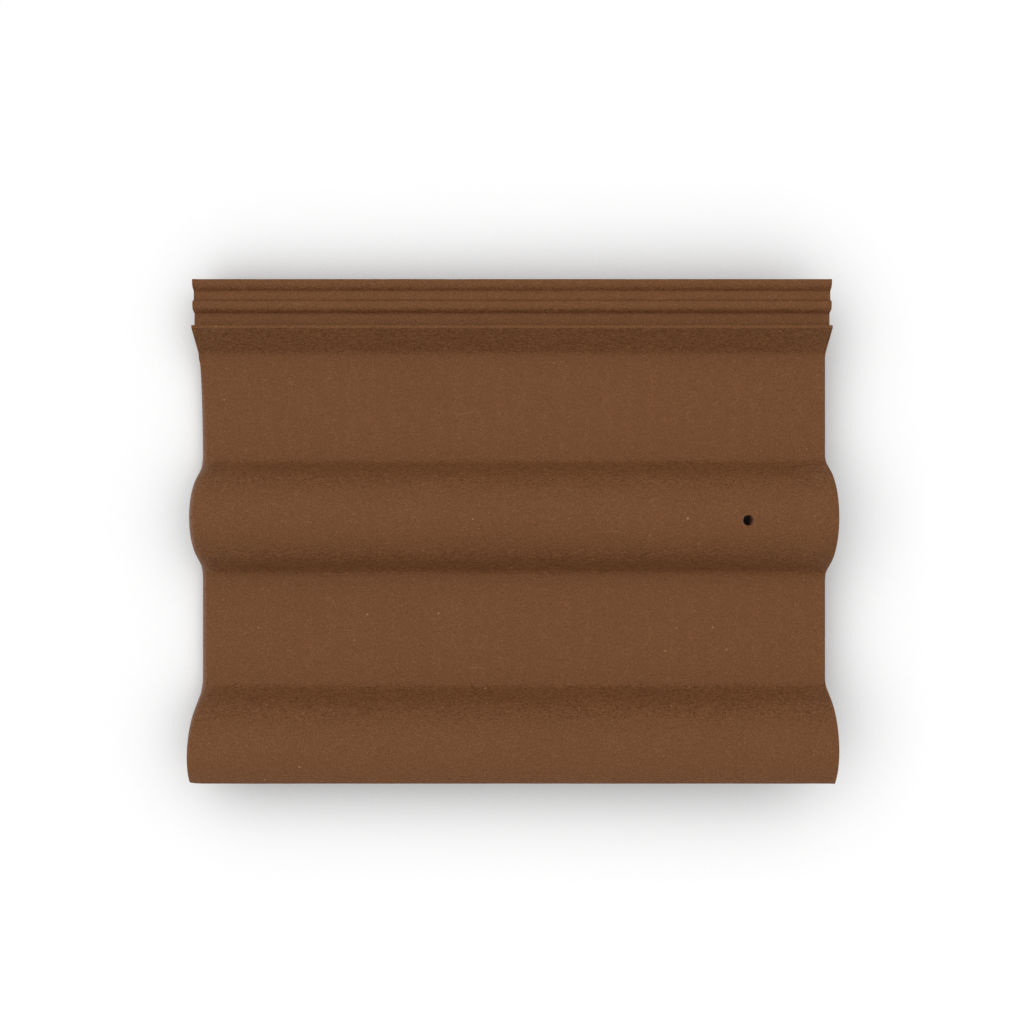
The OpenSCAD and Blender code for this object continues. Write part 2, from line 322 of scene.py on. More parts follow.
@dataclass
class TileSection:
    """The section of the tile, from which its body is swept."""

    waves: RollsAndPans = field(default_factory=RollsAndPans)
    lap: CoverLap = field(default_factory=CoverLap)
    lock: Underlock = field(default_factory=Underlock)
    tail: Tail = field(default_factory=Tail)
    bars: WeatherBars = field(default_factory=WeatherBars)
    top_spacing: float = 2.0
    under_spacing: float = 3.2

    @property
    def edge_y(self) -> float:
        """Where the cover edge is."""
        return -self.waves.pitch - self.lap.edge_reach

    @property
    def cover_width(self) -> float:
        """Width that one tile covers on a roof."""
        return 2 * self.waves.pitch

    @property
    def step_y(self) -> float:
        """Where the step is that the next tile's cover edge stands against."""
        return self.edge_y + self.cover_width - self.lap.side_gap

    @property
    def land_y(self) -> float:
        """Where the ramp meets the landing."""
        return self.step_y - self.lock.landing_width

    @property
    def groove_y(self) -> float:
        """Where the outer groove starts."""
        return self.step_y + self.lock.inner_groove + self.lock.inner_ridge_width

    @property
    def outer_y(self) -> float:
        """Where the underlock's outer side is."""
        return self.groove_y + self.lock.outer_groove + self.lock.outer_ridge_width

    @property
    def lock_z(self) -> float:
        """Height of the underlock's underside."""
        return self.lock.outer_floor - self.waves.wall - self.lock.extra

    @property
    def hook_z(self) -> float:
        """Height of the hook's foot."""
        return self.lock.inner_floor + self.lap.foot_gap

    @property
    def hook_y(self) -> float:
        """Where the hook's inner side is."""
        return self.edge_y + self.lap.hook_width

    def ramp_foot(self, depth: float) -> float:
        """Where the pan's line and the ramp's line would meet, at a depth below the top surface."""
        level = self.land_y - self.lock.landing_height / math.tan(self.lock.ramp)
        return level + depth * math.tan(self.lock.ramp / 2)

    @property
    def pan_end(self) -> float:
        """Where the last pan's flat top ends."""
        return self.ramp_foot(0) - self.lock.ramp_radius * math.tan(self.lock.ramp / 2)

    def top_corners(self) -> list[Corner]:
        """Sets out the top, from the cover edge's foot to the foot of the ramp.

        Returns:
            The corners in order.
        """
        waves, lap = self.waves, self.lap
        edge_z, edge_slope = waves.crest_at(lap.edge_lead - lap.edge_reach, 0)
        edge_z += lap.edge_lead * math.tan(edge_slope)
        reach = waves.flank_reach(0)
        return [
            Corner(self.edge_y, self.hook_z, lap.foot_radius, Zone.COVER_EDGE),
            Corner(self.edge_y, edge_z, lap.edge_radius, Zone.COVER_EDGE),
            waves.crest(-waves.pitch, 0, Zone.TOP, edge_slope, waves.flank),
            waves.root(reach - waves.pitch, 0, Zone.TOP),
            waves.root(-reach, 0, Zone.TOP),
            waves.crest(0, 0, Zone.TOP, -waves.flank, waves.flank),
            waves.root(reach, 0, Zone.TOP),
            Corner(self.ramp_foot(0), 0, self.lock.ramp_radius, Zone.TOP),
        ]

    def lock_corners(self) -> list[Corner]:
        """Sets out the underlock, from its landing to its outer edge.

        Returns:
            The corners in order.
        """
        lock, zone = self.lock, Zone.UNDERLOCK
        ridge_y = self.step_y + lock.inner_groove
        bank_y = self.groove_y + lock.outer_groove
        inner_y = ridge_y + (lock.inner_ridge - lock.inner_floor) / math.tan(lock.inner_slope)
        back_y = self.groove_y - (lock.inner_ridge - lock.outer_floor) / math.tan(lock.back_slope)
        outer_y = bank_y + (lock.outer_ridge - lock.outer_floor) / math.tan(lock.outer_slope)
        return [
            Corner(self.land_y, lock.landing_height, lock.edge_radius, zone),
            Corner(self.step_y, lock.landing_height, lock.edge_radius, zone),
            Corner(self.step_y + lock.step_draft, lock.inner_floor, lock.hollow_radius, zone),
            Corner(ridge_y, lock.inner_floor, lock.hollow_radius, zone),
            Corner(inner_y, lock.inner_ridge, lock.inner_round, zone),
            Corner(back_y, lock.inner_ridge, lock.ridge_radius, zone),
            Corner(self.groove_y, lock.outer_floor, lock.hollow_radius, zone),
            Corner(bank_y, lock.outer_floor, lock.hollow_radius, zone),
            Corner(outer_y, lock.outer_ridge, lock.outer_round, zone),
            Corner(self.outer_y, lock.outer_ridge, lock.hollow_radius, zone),
        ]

    def under_corners(self) -> list[Corner]:
        """Sets out the underside, from the underlock's outer side back to the hook.

        Returns:
            The corners in order.
        """
        waves, lap, lock, zone = self.waves, self.lap, self.lock, Zone.UNDERSIDE
        wall = waves.wall
        reach = waves.flank_reach(wall)
        ramp_z_run = (self.lock_z + wall) / math.tan(lock.ramp)
        rib_middle = self.groove_y + lock.outer_groove / 2 - self.cover_width
        rib_in, rib_out = rib_middle + lap.rib_width / 2, rib_middle - lap.rib_width / 2
        rib_z = lock.outer_floor + lap.foot_gap
        roof_z = lock.inner_ridge + lap.ridge_gap
        rib_root_z, rib_slope = waves.crest_at(rib_in + waves.pitch, wall)
        return [
            Corner(self.outer_y, self.lock_z, lock.ridge_radius, zone),
            Corner(self.ramp_foot(wall) + ramp_z_run, self.lock_z, lock.ridge_radius, zone),
            Corner(self.ramp_foot(wall), -wall, lock.ramp_radius + wall, zone),
            waves.root(reach, wall, zone),
            waves.crest(0, wall, zone, -waves.flank, waves.flank),
            waves.root(-reach, wall, zone),
            waves.root(reach - waves.pitch, wall, zone),
            waves.crest(-waves.pitch, wall, zone, rib_slope, waves.flank),
            Corner(rib_in, rib_root_z, lap.hollow_radius, zone),
            Corner(rib_in - lap.draft, rib_z, lap.foot_radius, zone),
            Corner(rib_out + lap.draft, rib_z, lap.foot_radius, zone),
            Corner(rib_out, roof_z, lap.hollow_radius, zone),
            Corner(self.hook_y, roof_z, lap.hollow_radius, zone),
            Corner(self.hook_y - lap.draft, self.hook_z, lap.foot_radius, zone),
        ]

    def drop(self, y: float) -> float:
        """Depth of the tail's rounding, which is full up to the last pan and less towards the cover edge.

        Args:
            y: Place across the tile.

        Returns:
            The depth at the tail.
        """
        tail, foot = self.tail, self.waves.foot
        if y >= self.pan_end:
            return 0.0
        if y > foot:
            return tail.drop * math.sqrt(1 - ((y - foot) / (self.pan_end - foot)) ** tail.fade)
        full_y = tail.edge_from * self.waves.crest_radius - self.waves.pitch
        part = min(max((y - self.edge_y) / (full_y - self.edge_y), 0.0), 1.0)
        return tail.edge_drop + (tail.drop - tail.edge_drop) * part**tail.edge_fade

    def nose_move(self, point: SectionPoint) -> Vector:
        """How far the tail's rounding moves a point of the section, at the tail itself.

        Args:
            point: The point.

        Returns:
            The move in the section's plane.
        """
        if point.zone is Zone.TOP:
            return -self.drop(point.place.x) * point.normal
        if point.zone is not Zone.COVER_EDGE:
            return Vector((0.0, 0.0))
        edge_z, slope = self.waves.crest_at(-self.lap.edge_reach, 0)
        fall = -self.tail.edge_drop * Vector((math.sin(slope), math.cos(slope)))
        foot_width = self.lap.hook_width - self.lap.draft
        height = min(max((point.place.y - self.hook_z) / (edge_z - self.hook_z), 0.0), 1.0)
        outside = min(max(1 - (point.place.x - self.edge_y) / foot_width, 0.0), 1.0)
        return Vector((fall.x * (height + (1 - height) * outside), fall.y * height))

    def bar_move(self, point: SectionPoint) -> Vector:
        """How far a weather bar stands out from a point of the section.

        Args:
            point: The point.

        Returns:
            The move in the section's plane.
        """
        if point.zone is not Zone.UNDERSIDE:
            return Vector((0.0, 0.0))
        inside = min(point.place.x + self.waves.pitch, self.pan_end - point.place.x) / self.bars.end_taper
        return self.bars.height * math.sqrt(min(max(inside, 0.0), 1.0)) * point.normal

    def points(self) -> list[SectionPoint]:
        """Sets out the whole section as a closed line of points.

        Returns:
            The points, each with all its moves.
        """
        spacing = {zone: self.top_spacing for zone in Zone}
        spacing[Zone.UNDERSIDE] = self.under_spacing
        found = Outline(spacing).closed(self.top_corners() + self.lock_corners() + self.under_corners())
        for point in found:
            nose = self.nose_move(point)
            depth = self.lap.corner_round if point.zone is Zone.COVER_EDGE else 1.0
            if point.zone is Zone.TOP:
                depth -= nose.length / self.tail.drop
            point.moves = {
                Move.NOSE: nose,
                Move.TAIL_EDGE: -depth * point.normal,
                Move.HEAD_EDGE: -point.normal,
                Move.BAR: self.bar_move(point),
            }
        return found


@dataclass
class Stations:
    """The places along the tile at which the section is set, closer together where its shape changes."""

    section: TileSection
    length: float = 420.0
    spacing: float = 2.2
    end_radius: float = 0.5
    end_rows: int = 4
    relief_fade: float = 4.0
    least_gap: float = 0.01

    @property
    def tail_x(self) -> float:
        """Where the tail is."""
        return -self.length / 2

    @property
    def head_x(self) -> float:
        """Where the head is."""
        return self.length / 2

    def edge_inset(self, along: float) -> float:
        """Depth of the small round on an end's edges, at a distance from that end."""
        rest = max(self.end_radius - along, 0.0)
        return self.end_radius - math.sqrt(self.end_radius**2 - rest**2)

    def places(self) -> list[float]:
        """Sets out the stations, from tail to head.

        Returns:
            Their places along the tile, in order.
        """
        tail, bars = self.section.tail, self.section.bars
        ends = [self.end_radius * (1 - math.cos(turn)) for turn in quarter(self.end_rows)]
        nose = [tail.run * (1 - math.cos(turn)) for turn in quarter(tail.rows)]
        fixed = {self.tail_x + d for d in ends + nose} | {self.head_x - d for d in ends}
        for middle in bars.middles(self.tail_x):
            turns = [math.pi * i / bars.rows for i in range(bars.rows + 1)]
            fixed |= {middle - bars.width / 2 * math.cos(turn) for turn in turns}
        ordered = sorted(fixed)
        found = [ordered[0]]
        for place in ordered[1:]:
            gap = place - found[-1]
            if gap < self.least_gap:
                continue
            parts = math.ceil(gap / self.spacing)
            found += [found[-1] + gap * k / parts for k in range(1, parts + 1)]
        return found

    def shares(self, x: float) -> dict[str, float]:
        """The share of each move, and of the surface's relief, at one station.

        Args:
            x: The station's place.

        Returns:
            The shares by name.
        """
        bars = self.section.bars
        return {
            Move.NOSE.value: self.section.tail.share(x - self.tail_x),
            Move.TAIL_EDGE.value: self.edge_inset(x - self.tail_x),
            Move.HEAD_EDGE.value: self.edge_inset(self.head_x - x),
            Move.BAR.value: max(bars.share(x - middle) for middle in bars.middles(self.tail_x)),
            "relief": min((x - self.tail_x) / self.relief_fade, (self.head_x - x) / self.relief_fade, 1.0),
        }


class Tree:
    """A node tree, with short ways to add nodes and links."""

    def __init__(self, tree: NodeTree) -> None:
        """Keeps the tree and empties it."""
        self.tree = tree
        self.tree.nodes.clear()

    def add(self, kind: str, settings: dict[str, Any] | None = None, **inputs: Any) -> Node:
        """Adds a node.

        Args:
            kind: The node's type name.
            settings: Its own settings by name.
            inputs: Sockets or values for its inputs, by name with _ for a space, or by number after an i.

        Returns:
            The new node.
        """
        node = self.tree.nodes.new(kind)
        for name, value in (settings or {}).items():
            setattr(node, name, value)
        for name, value in inputs.items():
            numbered = name[0] == "i" and name[1:].isdigit()
            socket = node.inputs[int(name[1:])] if numbered else node.inputs[name.replace("_", " ")]
            if isinstance(value, NodeSocket):
                self.tree.links.new(value, socket)
            else:
                socket.default_value = value
        return node

    def math(self, operation: str, *values: Any) -> NodeSocket:
        """Adds a sum of numbers or sockets, and returns the result's socket."""
        inputs = {f"i{i}": value for i, value in enumerate(values)}
        return self.add("ShaderNodeMath", {"operation": operation}, **inputs).outputs[0]

    def vector(self, operation: str, *values: Any, **named: Any) -> NodeSocket:
        """Adds a sum of vectors or sockets, and returns the result's socket."""
        inputs = {f"i{i}": value for i, value in enumerate(values)} | named
        return self.add("ShaderNodeVectorMath", {"operation": operation}, **inputs).outputs[0]

    def between(self, value: NodeSocket, low: float, high: float) -> NodeSocket:
        """Adds a smooth step, which is 0 where the value is at the first level and 1 at the second."""
        return self.add("ShaderNodeMapRange", {"interpolation_type": "SMOOTHSTEP"},
                        Value=value, From_Min=low, From_Max=high).outputs[0]

    def showing(self) -> NodeSocket:
        """Tells the rays that show the background from those that carry light.

        Returns:
            One for rays to the camera, in a reflection or through glass, and else zero.
        """
        rays = self.add("ShaderNodeLightPath").outputs
        shown = self.math("MAXIMUM", rays["Is Camera Ray"], rays["Is Glossy Ray"])
        return self.math("MAXIMUM", shown, rays["Is Transmission Ray"])


class ShapeTree(Tree):
    """A Geometry Nodes tree with named inputs, which ends in Realize Instances and Set Material."""

    def __init__(self, name: str, inputs: dict[str, str]) -> None:
        """Makes the tree and its inputs.

        Args:
            name: The tree's name.
            inputs: The inputs' socket types by name; the geometry and the clay are added to them.
        """
        super().__init__(bpy.data.node_groups.new(name, "GeometryNodeTree"))
        face = self.tree.interface
        face.new_socket("Geometry", in_out="INPUT", socket_type="NodeSocketGeometry")
        for label, kind in (inputs | {"Clay": "NodeSocketMaterial"}).items():
            face.new_socket(label, in_out="INPUT", socket_type=kind)
        face.new_socket("Geometry", in_out="OUTPUT", socket_type="NodeSocketGeometry")
        self.given = self.add("NodeGroupInput").outputs

    def close(self, shape: NodeSocket) -> None:
        """Ends the tree.

        Args:
            shape: The finished geometry.
        """
        real = self.add("GeometryNodeRealizeInstances", Geometry=shape).outputs[0]
        dressed = self.add("GeometryNodeSetMaterial", Geometry=real, Material=self.given["Clay"]).outputs[0]
        self.add("NodeGroupOutput", Geometry=dressed)

    def run(self, name: str, source: Mesh, values: dict[str, Any]) -> Mesh:
        """Runs the tree on a mesh.

        Args:
            name: Name of the new mesh.
            source: The mesh that the tree starts from.
            values: The inputs' values by name.

        Returns:
            The result as a plain mesh.
        """
        carrier = linked(name + "_source", source)
        modifier = carrier.modifiers.new(self.tree.name, "NODES")
        modifier.node_group = self.tree
        for item in self.tree.interface.items_tree:
            if item.in_out == "INPUT" and item.name in values:
                modifier[item.identifier] = values[item.name]
        return baked(carrier, name)


def linked(name: str, mesh: Mesh) -> Object:
    """Makes an object of a mesh and links it to the scene.

    Args:
        name: The object's name.
        mesh: Its mesh.

    Returns:
        The object.
    """
    made = bpy.data.objects.new(name, mesh)
    bpy.context.scene.collection.objects.link(made)
    return made


def baked(carrier: Object, name: str) -> Mesh:
    """Turns an object's evaluated shape into a plain mesh, and removes the object.

    Args:
        carrier: The object with its modifiers.
        name: Name of the new mesh.

    Returns:
        The plain mesh.
    """
    evaluated = carrier.evaluated_get(bpy.context.evaluated_depsgraph_get())
    mesh = bpy.data.meshes.new_from_object(evaluated)
    mesh.name = name
    carrier.modifiers.clear()
    source = carrier.data
    bpy.data.objects.remove(carrier)
    bpy.data.meshes.remove(source)
    return mesh


def line_mesh(name: str, places: list[Vector], closed: bool) -> Mesh:
    """Makes a mesh of a row of points.

    Args:
        name: The mesh's name.
        places: The points.
        closed: Whether the last is joined to the first.

    Returns:
        The mesh, which has only points and edges.
    """
    mesh = bpy.data.meshes.new(name)
    count = len(places)
    mesh.from_pydata(places, [(i, (i + 1) % count) for i in range(count if closed else count - 1)], [])
    return mesh


def lofted(name: str, rings: list[list[Vector]]) -> Mesh:
    """Makes a closed mesh through rings of points, with a flat face on the first ring and on the last.

    Args:
        name: The mesh's name.
        rings: The rings, which have the same number of points and turn the same way.

    Returns:
        The mesh, with its faces outwards.
    """
    shape = bmesh.new()
    rows = [[shape.verts.new(place) for place in ring] for ring in rings]
    for low, high in zip(rows, rows[1:]):
        for i, corner in enumerate(low):
            j = (i + 1) % len(low)
            shape.faces.new((corner, low[j], high[j], high[i]))
    shape.faces.new(rows[0][::-1])
    shape.faces.new(rows[-1])
    bmesh.ops.recalc_face_normals(shape, faces=shape.faces)
    mesh = bpy.data.meshes.new(name)
    shape.to_mesh(mesh)
    shape.free()
    return mesh


@dataclass(frozen=True)
class Pattern:
    """A soft random pattern.

    Its size is in millimetres, detail is how many finer layers it has, and roughness how strong they are.
    Warp draws it into wrinkles, stretch makes it longer along the tile, and strength is how far it swings.
    """

    size: float
    seed: float
    strength: float = 0.0
    detail: float = 2.0
    roughness: float = 0.5
    warp: float = 0.0
    stretch: float = 1.0


@dataclass
class TileBody:
    """The tile's body: its section, swept along the stations."""

    section: TileSection = field(default_factory=TileSection)
    relief: Pattern = Pattern(16.0, 4.0, strength=0.22, roughness=0.55)
    weld: float = 0.001

    def __post_init__(self) -> None:
        """Makes the stations of this section."""
        self.stations = Stations(self.section)

    def section_mesh(self) -> Mesh:
        """Makes the section as a closed line of points.

        Returns:
            The mesh, with each move as an attribute.
        """
        points = self.section.points()
        mesh = line_mesh("section", [Vector((0, p.place.x, p.place.y)) for p in points], closed=True)
        for move in Move:
            values = mesh.attributes.new(move.value, "FLOAT_VECTOR", "POINT").data
            for value, point in zip(values, points):
                value.vector = (0, point.moves[move].x, point.moves[move].y)
        return mesh

    def station_mesh(self) -> Mesh:
        """Makes the stations as a line of points.

        Returns:
            The mesh, with each share as an attribute.
        """
        places = self.stations.places()
        mesh = line_mesh("stations", [Vector((x, 0, 0)) for x in places], closed=False)
        shares = [self.stations.shares(x) for x in places]
        for name in shares[0]:
            mesh.attributes.new(name, "FLOAT", "POINT").data.foreach_set("value", [s[name] for s in shares])
        return mesh

    def sweep_tree(self) -> ShapeTree:
        """Makes the tree that sweeps the section along the stations and gives the clay its unevenness.

        Returns:
            The tree.
        """
        made = ShapeTree("sweep_section", {
            "Stations": "NodeSocketObject", "Relief depth": "NodeSocketFloat",
            "Relief size": "NodeSocketFloat", "Seed": "NodeSocketFloat",
        })
        ring = made.given["Geometry"]
        rail = made.add("GeometryNodeObjectInfo", Object=made.given["Stations"]).outputs["Geometry"]
        around = made.add("GeometryNodeAttributeDomainSize", Geometry=ring).outputs["Point Count"]
        along = made.add("GeometryNodeAttributeDomainSize", Geometry=rail).outputs["Point Count"]
        columns = made.math("ADD", around, 1.0)
        grid = made.add("GeometryNodeMeshGrid", Size_X=1.0, Size_Y=1.0, Vertices_X=along, Vertices_Y=columns)
        index = made.add("GeometryNodeInputIndex").outputs[0]
        row = made.math("FLOOR", made.math("DIVIDE", made.math("ADD", index, 0.5), columns))
        in_row = made.math("SUBTRACT", index, made.math("MULTIPLY", row, columns))
        column = made.math("MODULO", in_row, around)

        def sample(source: NodeSocket, place: NodeSocket, kind: str, name: str = "") -> NodeSocket:
            """Reads a value from a line of points: an attribute, or the place where no name is given.

            Args:
                source: The line's socket.
                place: The socket of the point's number.
                kind: The value's data type.
                name: The attribute's name.

            Returns:
                The value's socket.
            """
            if name:
                value = made.add("GeometryNodeInputNamedAttribute", {"data_type": kind}, Name=name).outputs[0]
            else:
                value = made.add("GeometryNodeInputPosition").outputs[0]
            read = made.add("GeometryNodeSampleIndex", {"data_type": kind, "domain": "POINT"},
                            Geometry=source, Value=value, Index=place)
            return read.outputs[0]

        place = made.vector("ADD", sample(ring, column, "FLOAT_VECTOR"), sample(rail, row, "FLOAT_VECTOR"))
        for move in Move:
            reach = sample(ring, column, "FLOAT_VECTOR", move.value)
            share = sample(rail, row, "FLOAT", move.value)
            place = made.vector("ADD", place, made.vector("SCALE", reach, Scale=share))
        relief = sample(rail, row, "FLOAT", "relief")
        swept = made.add("GeometryNodeSetPosition", Geometry=grid.outputs["Mesh"], Position=place).outputs[0]
        kept = made.add("GeometryNodeStoreNamedAttribute", {"data_type": "FLOAT", "domain": "POINT"},
                        Geometry=swept, Name="relief", Value=relief).outputs[0]
        joined = made.add("GeometryNodeMergeByDistance", Geometry=kept, Distance=self.weld).outputs[0]
        noise = made.add("ShaderNodeTexNoise", {"noise_dimensions": "4D"},
                         W=made.given["Seed"], Scale=made.math("DIVIDE", 1.0, made.given["Relief size"]),
                         Vector=made.add("GeometryNodeInputPosition").outputs[0],
                         Detail=self.relief.detail, Roughness=self.relief.roughness)
        share = made.add("GeometryNodeInputNamedAttribute", {"data_type": "FLOAT"}, Name="relief").outputs[0]
        part = made.math("MULTIPLY", noise.outputs[0], share)
        depth = made.math("MULTIPLY", part, made.given["Relief depth"])
        inward = made.vector("SCALE", made.add("GeometryNodeInputNormal").outputs[0],
                             Scale=made.math("MULTIPLY", depth, -1.0))
        uneven = made.add("GeometryNodeSetPosition", Geometry=joined, Offset=inward).outputs[0]
        made.close(made.add("GeometryNodeSetShadeSmooth", Geometry=uneven).outputs[0])
        return made

    def build(self, clay: Material) -> Mesh:
        """Builds the closed body in millimetres.

        Args:
            clay: The finish.

        Returns:
            The mesh in the tile's own plane.
        """
        rail = linked("stations", self.station_mesh())
        mesh = self.sweep_tree().run("tile_body", self.section_mesh(), {
            "Stations": rail, "Relief depth": self.relief.strength, "Relief size": self.relief.size,
            "Seed": self.relief.seed, "Clay": clay,
        })
        bpy.data.objects.remove(rail)
        shape = bmesh.new()
        shape.from_mesh(mesh)
        open_edges = [edge for edge in shape.edges if edge.is_boundary]
        bmesh.ops.holes_fill(shape, edges=open_edges, sides=0)
        bmesh.ops.recalc_face_normals(shape, faces=shape.faces)
        shape.to_mesh(mesh)
        shape.free()
        return mesh


@dataclass
class HangingNibs:
    """The two nibs under the pans by which the tile hangs on its batten."""

    section: TileSection
    head_x: float
    width: float = 50.0
    foot_length: float = 14.0
    height: float = 15.0
    inset: float = 22.0
    draft: float = math.radians(12)
    sunk: float = 4.0
    foot_radius: float = 1.4
    corner_radius: float = 3.0
    bearing_radius: float = 0.8
    root_radius: float = 3.0
    rows: int = 6
    corner_steps: int = 6

    @property
    def x(self) -> float:
        """Where the bearing faces are."""
        return self.head_x - self.inset

    @property
    def foot_z(self) -> float:
        """Height of the nibs' feet."""
        return -self.section.waves.wall - self.height

    def middles(self) -> tuple[float, float]:
        """Places of the two nibs across the tile, in the middle of each pan."""
        waves = self.section.waves
        return -waves.pitch / 2, (waves.foot + self.section.pan_end) / 2

    def levels(self) -> list[tuple[float, float]]:
        """Heights above the foot at which a nib has a ring of points, each with its inset.

        Returns:
            Pairs of height and inset, where a negative inset is the flare at the root.
        """
        turns = quarter(self.rows)
        foot = [(self.foot_radius * (1 - math.cos(t)), self.foot_radius * (1 - math.sin(t))) for t in turns]
        root = [(self.height - self.root_radius * (1 - math.sin(t)), -self.root_radius * (1 - math.cos(t)))
                for t in turns]
        return foot + root + [(self.height + self.sunk, -self.root_radius)]

    def ring(self, height: float, inset: float) -> list[Vector]:
        """One ring of points round a nib.

        Args:
            height: Height above the foot.
            inset: How far its free sides are drawn in.

        Returns:
            The ring's points, with the bearing face at x = 0.
        """
        spread = height * math.tan(self.draft)
        top_spread = (self.height + self.sunk) * math.tan(self.draft)
        half = self.width / 2 - top_spread + spread - inset
        near, far = max(inset, 0.0), self.foot_length + spread - inset
        found = []
        for side_x, side_y, radius in (
            (far, -1, self.corner_radius), (far, 1, self.corner_radius),
            (near, 1, self.bearing_radius), (near, -1, self.bearing_radius),
        ):
            out_x = 1 if side_x == far else -1
            middle = Vector((side_x - out_x * radius, side_y * (half - radius)))
            start = math.atan2(side_y, out_x) - math.pi / 4
            for turn in quarter(self.corner_steps):
                x = middle.x + radius * math.cos(start + turn)
                y = middle.y + radius * math.sin(start + turn)
                found.append(Vector((x, y, self.foot_z + height)))
        return found

    def nib_mesh(self) -> Mesh:
        """One nib as a closed mesh, with its bearing face at x = 0 and its middle at y = 0."""
        return lofted("nib", [self.ring(*level) for level in self.levels()])

    def repeat_tree(self) -> ShapeTree:
        """Makes the tree that sets a copy of one nib at each place of a straight row.

        Returns:
            The tree.
        """
        made = ShapeTree("row_of_nibs", {
            "Count": "NodeSocketInt", "First place": "NodeSocketVector", "Step": "NodeSocketVector",
        })
        row = made.add("GeometryNodeMeshLine", Count=made.given["Count"],
                       Start_Location=made.given["First place"], Offset=made.given["Step"]).outputs[0]
        copies = made.add("GeometryNodeInstanceOnPoints", Points=row, Instance=made.given["Geometry"])
        made.close(copies.outputs[0])
        return made

    def build(self, clay: Material) -> Mesh:
        """Builds both nibs.

        Args:
            clay: The finish.

        Returns:
            One mesh of two closed shapes.
        """
        places = self.middles()
        return self.repeat_tree().run("nibs", self.nib_mesh(), {
            "Count": len(places), "First place": (self.x, places[0], 0.0),
            "Step": (0.0, places[1] - places[0], 0.0), "Clay": clay,
        })


@dataclass
class NailHole:
    """The hole for the fixing nail, near the crest of the middle roll."""

    waves: RollsAndPans
    head_x: float
    diameter: float = 6.8
    inset: float = 58.3
    offset: float = 2.1
    rim_radius: float = 0.35
    rim_steps: int = 4
    sides: int = 64
    over: float = 3.0

    def cutter(self) -> Mesh:
        """Makes the closed shape that is cut away, a little wider where it leaves the crest.

        Returns:
            Its mesh.
        """
        radius = self.diameter / 2
        rim_z = self.waves.crest_at(self.offset, 0)[0]
        under_z = self.waves.crest_at(self.offset, self.waves.wall)[0]
        rim = [(self.rim_radius * (1 - math.cos(t)), self.rim_radius * (1 - math.sin(t)))
               for t in quarter(self.rim_steps)]
        profile = [(radius, under_z - self.over)] + [(radius + out, rim_z - down) for out, down in rim]
        profile += [(radius + self.rim_radius, rim_z + self.over)]
        x, y = self.head_x - self.inset, -self.offset
        rings = []
        for out, z in profile:
            turns = [2 * math.pi * i / self.sides for i in range(self.sides)]
            rings.append([Vector((x + out * math.cos(t), y + out * math.sin(t), z)) for t in turns])
        return lofted("nail_cutter", rings)


@dataclass
class RoofTile:
    """The whole tile, fired in one piece."""

    body: TileBody = field(default_factory=TileBody)
    sharp_angle: float = math.radians(38)

    def __post_init__(self) -> None:
        """Makes the nibs and the nail hole for this body."""
        section, head_x = self.body.section, self.body.stations.head_x
        self.nibs = HangingNibs(section, head_x)
        self.nail_hole = NailHole(section.waves, head_x)

    @property
    def rest_angle(self) -> float:
        """Angle at which the tile lies on its nibs' feet and its first bar."""
        bars = self.body.section.bars
        bar_x = bars.middles(self.body.stations.tail_x)[0] - bars.width / 2
        rise = self.nibs.height - bars.height
        return math.atan(rise / (self.nibs.x - bar_x))

    def laid(self) -> Matrix:
        """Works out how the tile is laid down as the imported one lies.

        Returns:
            The move from the tile's own plane in millimetres to its place in metres.
        """
        section, angle = self.body.section, self.rest_angle
        turn = Matrix.Rotation(-angle, 4, "Y")
        head_corner = turn @ Vector((self.body.stations.head_x, section.outer_y, -section.waves.wall))
        foot = turn @ Vector((self.nibs.x, 0, self.nibs.foot_z))
        high = CAD_BOX[1]
        shift = Vector((high.x / MM - head_corner.x, high.y / MM - head_corner.y, -foot.z))
        return Matrix.Scale(MM, 4) @ Matrix.Translation(shift) @ turn

    def build(self, clay: Material) -> Object:
        """Builds the tile as one closed mesh.

        Args:
            clay: The finish.

        Returns:
            The tile where it lies.
        """
        whole = linked("tile_whole", self.body.build(clay))
        nibs = linked("tile_nibs", self.nibs.build(clay))
        cutter = linked("tile_cutter", self.nail_hole.cutter())
        for other, cut in ((nibs, Cut.JOIN), (cutter, Cut.REMOVE)):
            modifier = whole.modifiers.new(cut.name, "BOOLEAN")
            modifier.solver = "MANIFOLD"
            modifier.object = other
            modifier.operation = cut.value
        mesh = baked(whole, "fired_tile")
        for other in (nibs, cutter):
            bpy.data.objects.remove(other)
        mesh.transform(self.laid())
        mesh.materials.clear()
        mesh.materials.append(clay)
        mesh.polygons.foreach_set("use_smooth", [True] * len(mesh.polygons))
        mesh.set_sharp_from_angle(angle=self.sharp_angle)
        mesh.validate()
        return linked("fired_tile", mesh)


